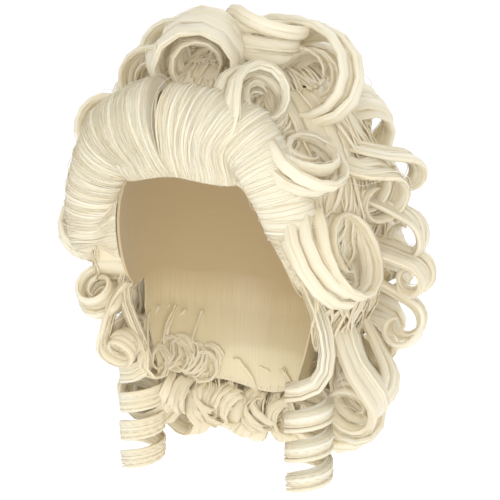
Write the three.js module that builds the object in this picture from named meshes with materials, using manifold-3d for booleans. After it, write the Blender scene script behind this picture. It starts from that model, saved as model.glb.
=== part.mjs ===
// A curly platinum wig: a fabric cap, hair combed back from the hairline into waves and barrel
// curls, and one ringlet hanging in front of each ear. Millimetres, +Z up, the face towards -Y
// and the wearer's left towards +X. The origin is the inside of the crown, where the cap sits
// on the head.
import * as THREE from 'three';
import { mergeVertices } from 'three/addons/utils/BufferGeometryUtils.js';
import Module from 'manifold-3d';

const wasm = await Module();
wasm.setup();

// Cap sizes in millimetres
const CAP_HALF_WIDTH = 78;
const CAP_HALF_DEPTH = 102;
const CROWN_HEIGHT = 100;
const CAP_WALL = 2;
const NECK_TAPER = 190; // semi-axis of the narrowing below the widest ring
const TAPER_DEPTH = 125; // how far the narrowing goes down
const SEAT_GAP = 0.35; // between the cap and the hair, and between hair sections
const NECK_DROP = 3.4; // how far down the neck is kept clear of hair, in crown heights

// Hair sizes in millimetres
const HAIR_LIFT = 80; // how far the fullest curls stand off the cap
const CURL_RADIUS = 40; // the largest barrel curl
const LOCK_WIDTH = 40; // the widest lock, measured across the ribbon
const LOCK_THICKNESS = 16; // how deep a lock of full width is
const BODY_DEPTH = 15; // how far the hair's body reaches in before the head room trims it
const PATCH_SEAM = 1; // between the bodies of neighbouring sections
const RINGLET_RADIUS = 16;
const RINGLET_PITCH = 26;
const RINGLET_WIDTH = 21;
const RINGLET_THICKNESS = 6;
const RINGLET_FALL = 94; // from the root to where the spiral starts
const RINGLET_STAND_OFF = 8; // between the neck and the spiral

// Proportions of the locks
const ROOT_TAPER = 0.75; // width at the root, as a share of the widest
const CURL_TIP = 0.5; // and at the tip of a curl
const RINGLET_TIP = 0.9; // and at the tip of a ringlet
const CURL_SHRINK = 0.4; // how much a curl has closed up by its tip
const CURL_DRIFT = 0.15; // how far it moves along its axis in a turn, in its own widths
const RINGLET_ROOT = 0.9; // share of the way down to the rim
const RINGLET_TURNS = 2.9;
const FALL_EASE = 0.42; // reach of the fall's handles, as a share of its length
const THICKNESS_TAPER = 0.6; // how much thinner a narrower lock is
const FULL_FROM = 0.3; // share of its length at which a lock has its full width
const FULL_TO = 0.45; // and from which it narrows to its tip
const CREST = 0.6; // width of the flat along a lock's face, as a share of the lock's width
const LEAST_ENTRY = 0.95; // a curl this near its root, in radii over distance, starts side on
const RINGLET_SPRING = 0.8; // how far a ringlet stands out at its root, for each step it falls

// How finely the shapes are divided
const CAP_COLUMNS = 26;
const CAP_ROWS = 5;
const PATCH_ROWS = 4;
const PATCH_COLUMN_DEGREES = 22;
const CURL_FALL_STEPS = 3; // from a lock's root to its curl
const RINGLET_FALL_STEPS = 4;
const STEPS_PER_TURN = 6;
const FRAME_STEPS = 6; // between sections, to carry a lock's width round without a twist

// Rim of the cap: azimuth from the face in degrees, and drop in crown heights
const RIM = [
  { az: 0, drop: 0.72 },
  { az: 38, drop: 0.77 },
  { az: 82, drop: 1.59 },
  { az: 105, drop: 1.53 },
  { az: 135, drop: 1.62 },
  { az: 180, drop: 1.7 },
];

// The hair's body under the curls, as shares of the hair lift: at the rim, at the fullest place
// half way up, and at the hem below the rim
const BODY = [
  { az: 0, rim: 0.1, full: 0.32, hem: 0.1 },
  { az: 45, rim: 0.12, full: 0.34, hem: 0.12 },
  { az: 66, rim: 0.3, full: 0.4, hem: 0.3 },
  { az: 90, rim: 0.5, full: 0.5, hem: 0.36 },
  { az: 130, rim: 0.6, full: 0.6, hem: 0.4 },
  { az: 180, rim: 0.6, full: 0.62, hem: 0.4 },
];
const BODY_FULLEST = 0.55; // where the body is fullest, as a share of the way down to the rim
const BODY_CROWN = 0.42; // its share of the hair lift at the crown
const BODY_HEM = 1.55; // how far down it ends, as a share of the way down to the rim

// What each section takes of the body: azimuths in degrees, and shares of the way to the rim
const PATCHES = {
  crown_curls: { from: -180, to: 180, top: 0, bottom: 0.255 },
  front_hair_right: { from: -70, to: 0, top: 0.26, bottom: 0.97 },
  front_hair_left: { from: 0, to: 70, top: 0.26, bottom: 0.97 },
  side_curls_right: { from: -122, to: -70, top: 0.26, bottom: 0.98 },
  side_curls_left: { from: 70, to: 122, top: 0.26, bottom: 1.25 },
  back_curls: { from: 122, to: 238, top: 0.26, bottom: 0.98 },
  nape_curls: { from: 122, to: 258, top: 0.98, bottom: BODY_HEM },
};

// Single curls. Roots and curl centres: azimuth in degrees and share of the way down to the
// rim there. Lift, radius and width are shares of the hair lift, the curl radius and the lock
// width. Comb is the way the outside of the curl travels: 0 up, 90 to the wearer's left, 180
// down. Lean tips the curl's axis from lying on the head (0) to standing on it (90 or -90).
const COLUMNS = ['rootAz', 'root', 'az', 'down', 'lift', 'radius', 'turns', 'comb', 'lean', 'width'];
const CURLS = {
  front_hair_left: [
    [8, 0.96, 8, 0.68, 0.3, 0.65, 0.55, 20, 0, 0.7],
    [20, 0.94, 44, 0.6, 0.48, 0.7, 1.0, 60, -65, 0.7],
    [42, 0.94, 60, 0.61, 0.43, 0.85, 1.0, 90, 60, 0.75],
    [62, 0.9, 72, 0.77, 0.45, 1.1, 0.95, 110, 60, 0.8],
  ],
  front_hair_right: [
    [-8, 0.96, -12, 0.68, 0.3, 0.75, 0.6, -15, 0, 0.75],
    [-24, 0.95, -26, 0.73, 0.3, 0.75, 0.6, -25, 0, 0.75],
    [-38, 0.95, -44, 0.79, 0.3, 0.7, 0.6, -50, 0, 0.75],
    [-50, 0.93, -62, 0.77, 0.3, 0.65, 0.6, -80, 0, 0.75],
    [-60, 0.92, -74, 0.84, 0.28, 0.55, 0.65, -110, 0, 0.7],
  ],
  crown_curls: [
    [-24, 0.26, 4, 0.33, 0.42, 0.87, 0.95, 90, -5, 1.05],
    [50, 0.13, 84, 0.255, 0.5, 1.0, 1.05, 180, -15, 1.15],
    [-30, 0.15, 72, 0.145, 0.66, 0.7, 0.7, 90, 80, 0.8],
  ],
  side_curls_left: [
    [86, 0.4, 94, 0.59, 0.55, 0.65, 0.9, 130, -50, 0.75],
    [102, 0.4, 104, 0.56, 0.8, 0.45, 0.8, 150, -30, 0.8],
    [100, 0.55, 104, 0.76, 0.75, 0.5, 0.8, 180, 0, 0.85],
    [98, 0.72, 99, 0.94, 0.88, 0.45, 0.8, 170, 0, 0.8],
    [104, 0.92, 106, 1.2, 0.85, 0.45, 0.8, 190, 0, 0.85],
  ],
};

// Rings of like curls: how many, over which azimuths, and the columns above. Swing turns the
// comb of every other curl the other way.
const RINGS = [
  { section: 'crown_curls', count: 3, from: 140, to: 250, root: 0.1, down: 0.2, lift: 0.42,
    radius: 0.8, turns: 0.85, comb: 180, swing: 30, lean: 10, width: 1 },
  { section: 'side_curls_right', count: 2, from: -84, to: -110, root: 0.3, down: 0.42, lift: 0.42,
    radius: 0.75, turns: 0.85, comb: 190, swing: 25, lean: 15, width: 0.95 },
  { section: 'side_curls_right', count: 2, from: -80, to: -106, root: 0.6, down: 0.74, lift: 0.44,
    radius: 0.65, turns: 0.85, comb: 180, swing: 30, lean: -15, width: 0.9 },
  { section: 'side_curls_right', count: 2, from: -84, to: -112, root: 0.9, down: 1.14, lift: 0.36,
    radius: 0.6, turns: 0.85, comb: 180, swing: 25, lean: 10, width: 0.85 },
  { section: 'side_curls_left', count: 2, from: 92, to: 112, root: 1, down: 1.52, lift: 0.62,
    radius: 0.55, turns: 0.85, comb: 180, swing: 25, lean: 10, width: 0.8 },
  { section: 'back_curls', count: 4, from: 136, to: 224, root: 0.3, down: 0.42, lift: 0.46,
    radius: 0.8, turns: 0.85, comb: 180, swing: 35, lean: 10, width: 1 },
  { section: 'back_curls', count: 3, from: 146, to: 214, root: 0.54, down: 0.68, lift: 0.55,
    radius: 0.8, turns: 0.85, comb: 180, swing: -35, lean: -10, width: 1 },
  { section: 'back_curls', count: 4, from: 134, to: 226, root: 0.8, down: 0.96, lift: 0.6,
    radius: 0.7, turns: 0.85, comb: 180, swing: 30, lean: 10, width: 0.95 },
  { section: 'nape_curls', count: 3, from: 130, to: 230, root: 1, down: 1.26, lift: 0.6,
    radius: 0.6, turns: 0.85, comb: 180, swing: 25, lean: 10, width: 0.85 },
  { section: 'nape_curls', count: 6, from: 118, to: 250, root: 1.2, down: 1.7, lift: 0.4,
    radius: 0.7, turns: 0.85, comb: 180, swing: -20, lean: -15, width: 0.95 },
];

// Ringlets: where they are rooted and where they hang, as azimuths in degrees, and how far
// they fall before they curl, as a share of the ringlet's fall
const RINGLETS = [
  { section: 'ringlet_right', rootAz: -80, az: -100, fall: 1.02 },
  { section: 'ringlet_left', rootAz: 74, az: 77, fall: 0.95 },
];

const HAIR_COLOUR = 0xe9e2cb;
const SHADE_COLOUR = 0xe3d8ba;
const CAP_COLOUR = 0xc0a47e;

const radians = THREE.MathUtils.degToRad;

// A table's values at an azimuth, the same on both sides and eased between its rows
function easedRow(table, az) {
  const turn = Math.abs(((((az + 180) % 360) + 360) % 360) - 180);
  const next = Math.max(1, table.findIndex((row) => row.az >= turn));
  const [a, b] = [table[next - 1], table[next]];
  const share = THREE.MathUtils.smoothstep(turn, a.az, b.az);
  return Object.fromEntries(Object.keys(a).map((key) => (
    [key, THREE.MathUtils.lerp(a[key], b[key], share)])));
}

const rimDrop = (az) => easedRow(RIM, az).drop;

// A place on the head: the point, the outward normal, the way up and the way round
function headFrame(az, drop, lift = 0) {
  const a = radians(az);
  const up = new THREE.Vector3(0, 0, 1);
  const round = new THREE.Vector3(CAP_HALF_WIDTH * Math.cos(a), CAP_HALF_DEPTH * Math.sin(a), 0);
  const point = new THREE.Vector3();
  const out = new THREE.Vector3();
  if (drop <= 1) {
    const p = (drop * Math.PI) / 2;
    const [s, c] = [Math.sin(p), Math.cos(p)];
    point.set(CAP_HALF_WIDTH * s * Math.sin(a), -CAP_HALF_DEPTH * s * Math.cos(a),
      CROWN_HEIGHT * (c - 1));
    out.set((s * Math.sin(a)) / CAP_HALF_WIDTH, (-s * Math.cos(a)) / CAP_HALF_DEPTH,
      c / CROWN_HEIGHT);
    up.set(-CAP_HALF_WIDTH * c * Math.sin(a), CAP_HALF_DEPTH * c * Math.cos(a), CROWN_HEIGHT * s);
  } else {
    const fall = (drop - 1) * CROWN_HEIGHT;
    const narrow = Math.sqrt(1 - (Math.min(fall, TAPER_DEPTH) / NECK_TAPER) ** 2);
    point.set(CAP_HALF_WIDTH * narrow * Math.sin(a), -CAP_HALF_DEPTH * narrow * Math.cos(a),
      -CROWN_HEIGHT - fall);
    out.set(Math.sin(a) / CAP_HALF_WIDTH, -Math.cos(a) / CAP_HALF_DEPTH, 0);
  }
  out.normalize();
  up.addScaledVector(out, -up.dot(out)).normalize();
  round.normalize();
  return { point: point.addScaledVector(out, lift), out, up, round };
}

// Moves every vertex of a geometry by a function of its place
function reshape(geometry, place) {
  const position = geometry.getAttribute('position');
  const point = new THREE.Vector3();
  for (let i = 0; i < position.count; i += 1) {
    point.copy(place(point.fromBufferAttribute(position, i)));
    position.setXYZ(i, point.x, point.y, point.z);
  }
  return geometry;
}

// A closed geometry as a solid that can be joined and cut
function solid(geometry) {
  const bare = geometry.clone();
  bare.deleteAttribute('normal');
  bare.deleteAttribute('uv');
  const merged = mergeVertices(bare, 1e-3);
  return new wasm.Manifold(new wasm.Mesh({
    numProp: 3,
    vertProperties: new Float32Array(merged.getAttribute('position').array),
    triVerts: new Uint32Array(merged.getIndex().array),
  }));
}

// A grid turned about the crown: profile points are [share of the way down to the rim, layer].
// A share over 1 goes on from the rim down the neck, and share 0 of layer -1 is the neck's middle.
function headTurned(profile, layerLift) {
  const points = profile.map(([share, layer]) => new THREE.Vector2(share, layer));
  return reshape(new THREE.LatheGeometry(points, CAP_COLUMNS), (v) => {
    const share = Math.hypot(v.x, v.z);
    const az = THREE.MathUtils.radToDeg(Math.atan2(v.x, v.z));
    if (share === 0 && v.y < 0) return new THREE.Vector3(0, 0, -NECK_DROP * CROWN_HEIGHT);
    const rim = rimDrop(az);
    const drop = share <= 1 ? share * rim : THREE.MathUtils.lerp(rim, NECK_DROP, share - 1);
    return headFrame(az, drop, layerLift(v.y, share, az)).point;
  });
}

const downTheCap = Array.from({ length: CAP_ROWS + 1 }, (_, i) => i / CAP_ROWS);

function capGeometry() {
  const inner = downTheCap.map((share) => [share, 0]);
  const outer = downTheCap.map((share) => [share, 1]).reverse();
  return headTurned([...inner, ...outer], (layer) => layer * CAP_WALL);
}

// All that the hair keeps out of: the cap, the head inside it and the neck below
function headRoom() {
  const outer = [...downTheCap, 2].map((share) => [share, 1]).reverse();
  return solid(headTurned([[0, -1], ...outer], () => CAP_WALL + SEAT_GAP));
}

// The lift of the hair's body over the cap, eased between the rows of its table
function bodyLift(az, down) {
  const row = easedRow(BODY, az);
  const share = down < BODY_FULLEST
    ? THREE.MathUtils.lerp(BODY_CROWN, row.full, down / BODY_FULLEST)
    : THREE.MathUtils.lerp(row.full, row.rim,
      THREE.MathUtils.smoothstep(down, BODY_FULLEST, 1));
  const hem = THREE.MathUtils.lerp(share, row.hem, THREE.MathUtils.smoothstep(down, 1, BODY_HEM));
  return HAIR_LIFT * hem;
}

// One section's patch of the body, a small seam clear of its neighbours
function patchGeometry({ from, to, top, bottom }, grow) {
  const seam = PATCH_SEAM / 2 - grow;
  const columns = Math.round((to - from) / PATCH_COLUMN_DEGREES);
  const box = new THREE.BoxGeometry(1, 1, 1, columns, PATCH_ROWS, 1);
  return reshape(box, (v) => {
    const azSeam = THREE.MathUtils.radToDeg(seam / CAP_HALF_WIDTH);
    const az = THREE.MathUtils.mapLinear(v.x, -0.5, 0.5, from + azSeam, to - azSeam);
    const downSeam = seam / (CROWN_HEIGHT * rimDrop(az));
    const down = THREE.MathUtils.mapLinear(v.y, 0.5, -0.5, top + downSeam, bottom - downSeam);
    const lift = v.z > 0 ? bodyLift(az, down) + grow : -BODY_DEPTH;
    return headFrame(az, down * rimDrop(az), lift).point;
  });
}

function crownPatchGeometry({ bottom }, grow) {
  const edge = bottom - (PATCH_SEAM / 2 - grow) / CROWN_HEIGHT;
  const shares = Array.from({ length: PATCH_ROWS }, (_, i) => (edge * i) / (PATCH_ROWS - 1));
  const inner = shares.map((share) => [share, 0]);
  const outer = shares.map((share) => [share, 1]).reverse();
  return headTurned([...inner, ...outer],
    (layer, share, az) => (layer ? bodyLift(az, share) + grow : -BODY_DEPTH));
}

// A spiral about an axis, opening at an angle from a given side
class Coil extends THREE.Curve {
  constructor({ centre, axis, from, start, turns, radius, shrink, pitch }) {
    super();
    Object.assign(this, { centre, axis, from, start, turns, radius, shrink, pitch });
    this.side = new THREE.Vector3().crossVectors(axis, from);
  }

  getPoint(t, target = new THREE.Vector3()) {
    const angle = this.start + 2 * Math.PI * this.turns * t;
    const r = this.radius * (1 - this.shrink * t);
    return target.copy(this.centre)
      .addScaledVector(this.from, r * Math.cos(angle))
      .addScaledVector(this.side, r * Math.sin(angle))
      .addScaledVector(this.axis, this.pitch * this.turns * t);
  }
}

// A lock: an eased fall from its root to the start of its coil, then the coil. Its frames keep
// the lock's width along the coil's axis and taper it to the tip. A lock that is grown, to keep
// its neighbours clear of it, is longer at both ends too.
class Lock extends THREE.Curve {
  constructor({ root, rise, coil, fallSteps, width, thickness, tip, grow }) {
    super();
    const entry = coil.getPoint(0);
    const reach = entry.distanceTo(root) * FALL_EASE;
    const first = root.clone().addScaledVector(rise, reach);
    const last = entry.clone().addScaledVector(coil.getTangent(0), -reach);
    this.fall = new THREE.CubicBezierCurve3(root, first, last, entry);
    this.steps = fallSteps + Math.round(STEPS_PER_TURN * coil.turns);
    this.split = fallSteps / this.steps;
    Object.assign(this, { coil, width, thickness, tip, grow });
  }

  getPoint(t, target = new THREE.Vector3()) {
    return t < this.split
      ? this.fall.getPointAt(t / this.split, target)
      : this.coil.getPoint((t - this.split) / (1 - this.split), target);
  }

  getSpacedPoints(divisions) {
    const points = this.getPoints(divisions);
    const lengthen = (end, inner) => {
      const along = points[end].clone().sub(points[inner]).normalize();
      points[end].addScaledVector(along, this.grow);
    };
    lengthen(0, 1);
    lengthen(divisions, divisions - 1);
    return points;
  }

  computeFrenetFrames(segments) {
    const tangents = [];
    const normals = [];
    const binormals = [];
    const across = this.coil.axis.clone();
    for (let step = segments * FRAME_STEPS; step >= 0; step -= 1) {
      const t = step / (segments * FRAME_STEPS);
      const tangent = this.getTangent(t);
      if (t > this.split) across.copy(this.coil.axis);
      across.addScaledVector(tangent, -across.dot(tangent)).normalize();
      if (step % FRAME_STEPS) continue;
      const i = step / FRAME_STEPS;
      const taper = THREE.MathUtils.lerp(
        THREE.MathUtils.lerp(ROOT_TAPER, 1, THREE.MathUtils.smoothstep(t, 0, FULL_FROM)),
        this.tip, THREE.MathUtils.smoothstep(t, FULL_TO, 1));
      tangents[i] = tangent;
      normals[i] = across.clone().multiplyScalar(this.width * taper + 2 * this.grow);
      binormals[i] = new THREE.Vector3().crossVectors(tangent, across)
        .multiplyScalar(this.thickness * taper + 2 * this.grow);
    }
    return { tangents, normals, binormals };
  }
}

// The section of a lock: a flattened hexagon one wide and one thick
const LOCK_SECTION = new THREE.Shape([
  [1, 0], [CREST, 1], [-CREST, 1], [-1, 0], [-CREST, -1], [CREST, -1],
].map(([x, y]) => new THREE.Vector2(x / 2, y / 2)));

function lockSolid(shape) {
  const path = new Lock(shape);
  return solid(new THREE.ExtrudeGeometry(LOCK_SECTION, { steps: path.steps, extrudePath: path }));
}

// A curl from its row: rooted on the cap, it falls to the side of its coil nearest its root
function curl(row, grow) {
  const root = headFrame(row.rootAz, row.root * rimDrop(row.rootAz), CAP_WALL);
  const seat = headFrame(row.az, row.down * rimDrop(row.az), row.lift * HAIR_LIFT);
  const comb = radians(row.comb);
  const lean = radians(row.lean);
  const travel = seat.up.clone().multiplyScalar(Math.cos(comb))
    .addScaledVector(seat.round, Math.sin(comb));
  const axis = new THREE.Vector3().crossVectors(seat.out, travel).multiplyScalar(Math.cos(lean))
    .addScaledVector(seat.out, Math.sin(lean)).normalize();
  const from = root.point.clone().sub(seat.point);
  from.addScaledVector(axis, -from.dot(axis));
  const away = from.length();
  from.normalize();
  const radius = row.radius * CURL_RADIUS;
  const start = Math.acos(Math.min(radius / away, LEAST_ENTRY));
  const coil = new Coil({ centre: seat.point, axis, from, start, turns: row.turns, radius,
    shrink: CURL_SHRINK, pitch: row.width * LOCK_WIDTH * CURL_DRIFT });
  const rise = coil.getPoint(0).sub(root.point).normalize()
    .addScaledVector(root.out, Math.cos(lean)).normalize();
  const thickness = LOCK_THICKNESS * THREE.MathUtils.lerp(1, row.width, THICKNESS_TAPER);
  return lockSolid({ root: root.point, rise, coil, fallSteps: CURL_FALL_STEPS,
    width: row.width * LOCK_WIDTH, thickness, tip: CURL_TIP, grow });
}

// A ringlet: it springs out from the cap, falls and winds down about an upright axis
function ringlet({ rootAz, az, fall }, grow) {
  const root = headFrame(rootAz, RINGLET_ROOT * rimDrop(rootAz), CAP_WALL);
  const low = root.point.z - fall * RINGLET_FALL; // the height at which the spiral starts
  const hang = headFrame(az, -low / CROWN_HEIGHT, RINGLET_RADIUS + RINGLET_STAND_OFF);
  const centre = hang.point.setZ(low);
  const axis = new THREE.Vector3(0, 0, -1);
  const coil = new Coil({ centre, axis, from: new THREE.Vector3(0, -1, 0), start: 0,
    turns: RINGLET_TURNS, radius: RINGLET_RADIUS, shrink: 0, pitch: RINGLET_PITCH });
  const rise = axis.clone().addScaledVector(root.out, RINGLET_SPRING).normalize();
  return lockSolid({ root: root.point, rise, coil, fallSteps: RINGLET_FALL_STEPS,
    width: RINGLET_WIDTH, thickness: RINGLET_THICKNESS, tip: RINGLET_TIP, grow });
}

// The curls of one section, from its table and its rings
function curlsOf(section) {
  const rows = (CURLS[section] ?? []).map((row) => (
    Object.fromEntries(COLUMNS.map((column, i) => [column, row[i]]))));
  for (const ring of RINGS.filter((row) => row.section === section)) {
    for (let i = 0; i < ring.count; i += 1) {
      const az = THREE.MathUtils.lerp(ring.from, ring.to, i / (ring.count - 1));
      rows.push({ ...ring, rootAz: az, az, comb: ring.comb + (i % 2 ? ring.swing : -ring.swing) });
    }
  }
  return rows;
}

// A whole section: a ringlet, or the section's patch of the body with its curls joined to it
function hairSection(section, grow) {
  const hanging = RINGLETS.find((row) => row.section === section);
  if (hanging) return ringlet(hanging, grow);
  const patch = PATCHES[section];
  const shape = patch.top === 0 ? crownPatchGeometry(patch, grow) : patchGeometry(patch, grow);
  return curlsOf(section).reduce((body, row) => body.add(curl(row, grow)), solid(shape));
}

// The largest connected piece of a mesh: tips that a neighbouring lock has cut off are left out
function mainPiece(mesh) {
  const triangles = mesh.triVerts;
  const group = Array.from({ length: mesh.vertProperties.length / 3 }, (_, i) => i);
  const find = (i) => {
    let top = i;
    while (group[top] !== top) top = group[top];
    group[i] = top;
    return top;
  };
  for (let i = 0; i < triangles.length; i += 3) {
    group[find(triangles[i + 1])] = find(triangles[i]);
    group[find(triangles[i + 2])] = find(triangles[i]);
  }
  const sizes = new Map();
  triangles.forEach((vertex) => sizes.set(find(vertex), (sizes.get(find(vertex)) ?? 0) + 1));
  const main = [...sizes].reduce((a, b) => (b[1] > a[1] ? b : a))[0];
  const kept = [];
  for (let i = 0; i < triangles.length; i += 3) {
    if (find(triangles[i]) === main) kept.push(...triangles.slice(i, i + 3));
  }
  return kept;
}

function asGeometry(body) {
  const mesh = body.getMesh();
  const geometry = new THREE.BufferGeometry();
  geometry.setAttribute('position', new THREE.BufferAttribute(mesh.vertProperties, 3));
  geometry.setIndex(mainPiece(mesh));
  const bare = geometry.toNonIndexed();
  bare.computeVertexNormals();
  return bare;
}

const SECTION_ORDER = ['ringlet_right', 'ringlet_left', 'front_hair_left', 'front_hair_right',
  'crown_curls', 'side_curls_left', 'side_curls_right', 'back_curls', 'nape_curls'];

const material = (color, roughness) => new THREE.MeshStandardMaterial({ color, roughness });

function piece(name, geometry, look) {
  const mesh = new THREE.Mesh(geometry, look);
  mesh.name = name;
  return mesh;
}

function wig() {
  const group = new THREE.Group();
  group.add(piece('cap', capGeometry(), material(CAP_COLOUR, 0.8)));
  const room = headRoom();
  SECTION_ORDER.forEach((section, i) => {
    const free = SECTION_ORDER.slice(0, i).reduce(
      (body, earlier) => body.subtract(hairSection(earlier, SEAT_GAP)),
      hairSection(section, 0).subtract(room));
    const colour = section.startsWith('back') ? SHADE_COLOUR : HAIR_COLOUR;
    group.add(piece(section, asGeometry(free), material(colour, 0.55)));
  });
  return group;
}

export default wig();
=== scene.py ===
"""Looks of the curly wig: every lock of hair, the fabric cap, the studio and the camera."""

from __future__ import annotations
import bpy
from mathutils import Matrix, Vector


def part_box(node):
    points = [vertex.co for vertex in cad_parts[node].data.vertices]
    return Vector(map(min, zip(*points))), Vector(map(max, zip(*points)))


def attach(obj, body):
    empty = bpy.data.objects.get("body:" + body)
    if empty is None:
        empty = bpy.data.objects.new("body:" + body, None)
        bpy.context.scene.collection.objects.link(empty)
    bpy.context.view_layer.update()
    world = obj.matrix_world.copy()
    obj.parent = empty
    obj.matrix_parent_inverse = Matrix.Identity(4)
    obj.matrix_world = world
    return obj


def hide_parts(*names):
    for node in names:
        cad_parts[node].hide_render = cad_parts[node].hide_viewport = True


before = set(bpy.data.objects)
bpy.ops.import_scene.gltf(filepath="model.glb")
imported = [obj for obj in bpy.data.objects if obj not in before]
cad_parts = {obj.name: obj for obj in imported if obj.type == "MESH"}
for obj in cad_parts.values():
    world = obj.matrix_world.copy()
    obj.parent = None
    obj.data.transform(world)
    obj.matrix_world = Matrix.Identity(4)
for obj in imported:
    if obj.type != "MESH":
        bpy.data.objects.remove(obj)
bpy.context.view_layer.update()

import logging  # noqa: E402
import math  # noqa: E402
from collections.abc import Callable  # noqa: E402
from dataclasses import dataclass, field, replace  # noqa: E402
from enum import Enum  # noqa: E402

import bmesh  # noqa: E402
import bpy  # noqa: E402
import numpy as np  # noqa: E402
from mathutils import Matrix, Vector  # noqa: E402

log = logging.getLogger("wig")
Rows = dict[str, np.ndarray]
Wall = Callable[[float, float], np.ndarray]

# Columns of the tables of curls: roots and curl centres by azimuth in degrees and by share of
# the way down to the rim, then lift, radius and width as shares of the fullest hair, the
# largest curl and the widest lock. Comb is the way the outside of a curl travels: 0 up, 90 to
# the wearer's left, 180 down. Lean tips the curl's axis off the head.
COLUMNS = ("rootAz", "root", "az", "down", "lift", "radius", "turns", "comb", "lean", "width")

CURLS = {
    "front_hair_left": (
        (20, 0.9, 44, 0.6, 0.48, 0.7, 1.3, 60, -65, 0.65),
        (40, 0.9, 60, 0.61, 0.43, 0.85, 1.3, 90, 60, 0.7),
        (58, 0.88, 72, 0.77, 0.45, 1.1, 1.15, 110, 60, 0.8),
    ),
    "crown_curls": (
        (-24, 0.26, 4, 0.33, 0.42, 0.86, 1.8, 90, -5, 1.05),
        (50, 0.13, 84, 0.255, 0.5, 1.0, 1.5, 180, -15, 1.15),
        (-30, 0.15, 72, 0.145, 0.68, 0.7, 0.8, 90, 80, 0.8),
    ),
    "side_curls_left": (
        (86, 0.4, 94, 0.59, 0.55, 0.65, 0.9, 130, -50, 0.75),
        (102, 0.4, 104, 0.56, 0.74, 0.43, 0.8, 150, -30, 0.8),
        (100, 0.55, 104, 0.76, 0.75, 0.5, 0.8, 180, 0, 0.85),
        (98, 0.72, 99, 0.94, 0.88, 0.45, 0.8, 170, 0, 0.8),
        (104, 0.92, 106, 1.2, 0.85, 0.45, 0.8, 190, 0, 0.85),
    ),
}

SPLIT_COLUMNS = (*COLUMNS, "beside")

# Hair combed back off the face into one rolled sheet, by the same columns: a fibre between two
# rows takes values between theirs.
FANS = {
    "front_hair_left": (
        (2, 0.985, 5, 0.68, 0.3, 0.62, 0.55, 8, 0, 0.7),
        (16, 0.985, 22, 0.68, 0.3, 0.62, 0.55, 30, 0, 0.7),
        (34, 0.985, 42, 0.72, 0.28, 0.6, 0.5, 60, 0, 0.7),
        (52, 0.985, 60, 0.78, 0.28, 0.55, 0.5, 85, 0, 0.7),
        (66, 0.985, 74, 0.88, 0.28, 0.5, 0.55, 110, 0, 0.7),
        (77, 0.985, 87, 0.92, 0.3, 0.5, 0.55, 120, 0, 0.65),
    ),
    "front_hair_right": (
        (-3, 0.985, -9, 0.68, 0.3, 0.75, 0.6, -12, 0, 0.75),
        (-24, 0.985, -26, 0.73, 0.3, 0.7, 0.6, -25, 0, 0.75),
        (-38, 0.985, -44, 0.79, 0.28, 0.62, 0.6, -50, 0, 0.75),
        (-50, 0.985, -62, 0.78, 0.26, 0.52, 0.6, -80, 0, 0.72),
        (-64, 0.985, -76, 0.86, 0.25, 0.48, 0.65, -110, 0, 0.68),
    ),
    "nape_curls": (
        (116, 1.0, 114, 1.5, 0.2, 0.3, 0.9, 180, 0, 0.5),
        (150, 1.0, 150, 1.6, 0.2, 0.3, 0.9, 180, 0, 0.5),
        (180, 1.0, 180, 1.62, 0.2, 0.3, 0.9, 180, 0, 0.5),
        (210, 1.0, 210, 1.6, 0.2, 0.3, 0.9, 180, 0, 0.5),
        (250, 1.0, 248, 1.5, 0.2, 0.3, 0.9, 180, 0, 0.5),
    ),
}

# Rings of like curls: section, how many, from and to azimuth, then the columns from root to
# lift, radius, comb, the swing of every other curl, lean and width.
RING_TURNS = 1.4
RINGS = (
    ("crown_curls", 3, 140, 250, 0.1, 0.2, 0.42, 0.8, 180, 30, 10, 1),
    ("crown_curls", 3, -46, -80, 0.12, 0.27, 0.3, 0.55, 170, 30, 10, 0.75),
    ("side_curls_right", 2, -84, -110, 0.3, 0.44, 0.36, 0.62, 190, 25, 15, 0.95),
    ("side_curls_right", 2, -80, -106, 0.6, 0.74, 0.44, 0.65, 180, 30, -15, 0.9),
    ("side_curls_right", 3, -76, -104, 0.95, 1.08, 0.34, 0.48, 180, 35, 15, 0.6),
    ("side_curls_right", 3, -78, -110, 1.0, 1.32, 0.26, 0.42, 180, -30, 10, 0.55),
    ("side_curls_left", 2, 92, 112, 1, 1.52, 0.62, 0.55, 180, 25, 10, 0.8),
    ("back_curls", 4, 136, 224, 0.3, 0.42, 0.46, 0.8, 180, 35, 10, 1),
    ("back_curls", 3, 146, 214, 0.54, 0.68, 0.55, 0.8, 180, -35, -10, 1),
    ("back_curls", 4, 134, 226, 0.8, 0.96, 0.6, 0.7, 180, 30, 10, 0.95),
    ("back_curls", 5, 128, 232, 0.4, 0.56, 0.44, 0.55, 170, -30, 15, 0.7),
    ("back_curls", 6, 126, 234, 0.68, 0.82, 0.5, 0.55, 180, 40, -15, 0.7),
    ("nape_curls", 3, 130, 230, 1, 1.26, 0.6, 0.6, 180, 25, 10, 0.85),
    ("nape_curls", 6, 118, 250, 1.2, 1.7, 0.4, 0.7, 180, -20, -15, 0.95),
    ("nape_curls", 5, 124, 240, 1.05, 1.48, 0.44, 0.5, 190, 40, 15, 0.7),
    ("nape_curls", 8, 116, 244, 1.0, 1.62, 0.17, 0.32, 180, 30, 20, 0.45),
    ("nape_fringe", 7, 130, 246, 1.42, 1.66, 0.08, 0.5, 180, 35, 40, 0.6),
    ("nape_fringe", 5, 226, 266, 1.2, 1.44, 0.06, 0.42, 175, -25, -50, 0.5),
)

NAPE_OFF_HEAD = 7.0  # millimetres, so that the nape's locks clear its lining

# Ringlets: root azimuth, azimuth where they hang, how far they fall before they curl, and how
# far they hang off the neck in millimetres.
RINGLETS = (("ringlet_right", -80, -100, 1.02, 12.0), ("ringlet_left", 74, 77, 0.95, 8.0))

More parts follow.
